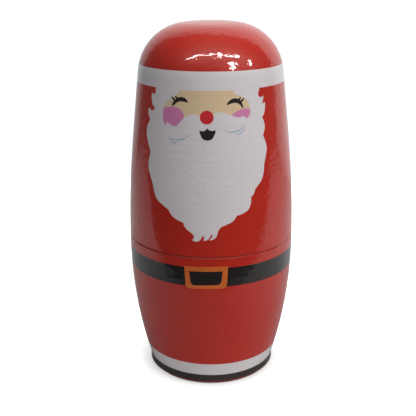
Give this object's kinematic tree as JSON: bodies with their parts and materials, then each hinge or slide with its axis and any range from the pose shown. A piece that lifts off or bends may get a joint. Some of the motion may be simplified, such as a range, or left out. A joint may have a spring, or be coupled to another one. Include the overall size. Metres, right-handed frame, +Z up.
{
  "type": "nesting doll",
  "caption": "Turned wooden nesting doll, red and glossy, painted as a bearded winter figure in a fur-trimmed hat and belt; it parts at a spigot seam over smaller dolls.",
  "frame": {"origin": "middle of the flat base of the largest doll", "axes": "+Z up along the turning axis, -Y towards the painted face, +X to the viewer's right"},
  "size_m": [0.0654, 0.0654, 0.14],
  "materials": {
    "painted_bottom": "painted and lacquered, bare inside",
    "painted_top": "painted and lacquered, bare inside",
    "painted_solid": "painted and lacquered"
  },
  "bodies": {
    "doll_1_bottom": {"doll_1_bottom": "painted_bottom"},
    "doll_2_bottom": {"doll_2_bottom": "painted_bottom"},
    "doll_3_bottom": {"doll_3_bottom": "painted_bottom"},
    "doll_4_bottom": {"doll_4_bottom": "painted_bottom"},
    "doll_5_bottom": {"doll_5_bottom": "painted_bottom"},
    "doll_6_solid": {"doll_6_solid": "painted_solid"},
    "doll_5_top": {"doll_5_top": "painted_top"},
    "doll_4_top": {"doll_4_top": "painted_top"},
    "doll_3_top": {"doll_3_top": "painted_top"},
    "doll_2_top": {"doll_2_top": "painted_top"},
    "doll_1_top": {"doll_1_top": "painted_top"}
  },
  "joints": [
    {"name": "doll_2_lift", "type": "slide", "parent": "doll_1_bottom", "child": "doll_2_bottom", "axis": [0, 0, 1], "range_m": [0, 0.064]},
    {"name": "doll_3_lift", "type": "slide", "parent": "doll_2_bottom", "child": "doll_3_bottom", "axis": [0, 0, 1], "range_m": [0, 0.05]},
    {"name": "doll_4_lift", "type": "slide", "parent": "doll_3_bottom", "child": "doll_4_bottom", "axis": [0, 0, 1], "range_m": [0, 0.04]},
    {"name": "doll_5_lift", "type": "slide", "parent": "doll_4_bottom", "child": "doll_5_bottom", "axis": [0, 0, 1], "range_m": [0, 0.031]},
    {"name": "doll_6_lift", "type": "slide", "parent": "doll_5_bottom", "child": "doll_6_solid", "axis": [0, 0, 1], "range_m": [0, 0.025]},
    {"name": "doll_5_top_lift", "type": "slide", "parent": "doll_6_solid", "child": "doll_5_top", "axis": [0, 0, 1], "range_m": [0, 0.026]},
    {"name": "doll_4_top_lift", "type": "slide", "parent": "doll_5_top", "child": "doll_4_top", "axis": [0, 0, 1], "range_m": [0, 0.033]},
    {"name": "doll_3_top_lift", "type": "slide", "parent": "doll_4_top", "child": "doll_3_top", "axis": [0, 0, 1], "range_m": [0, 0.042]},
    {"name": "doll_2_top_lift", "type": "slide", "parent": "doll_3_top", "child": "doll_2_top", "axis": [0, 0, 1], "range_m": [0, 0.053]},
    {"name": "doll_1_top_lift", "type": "slide", "parent": "doll_2_top", "child": "doll_1_top", "axis": [0, 0, 1], "range_m": [0, 0.067]}
  ]
}
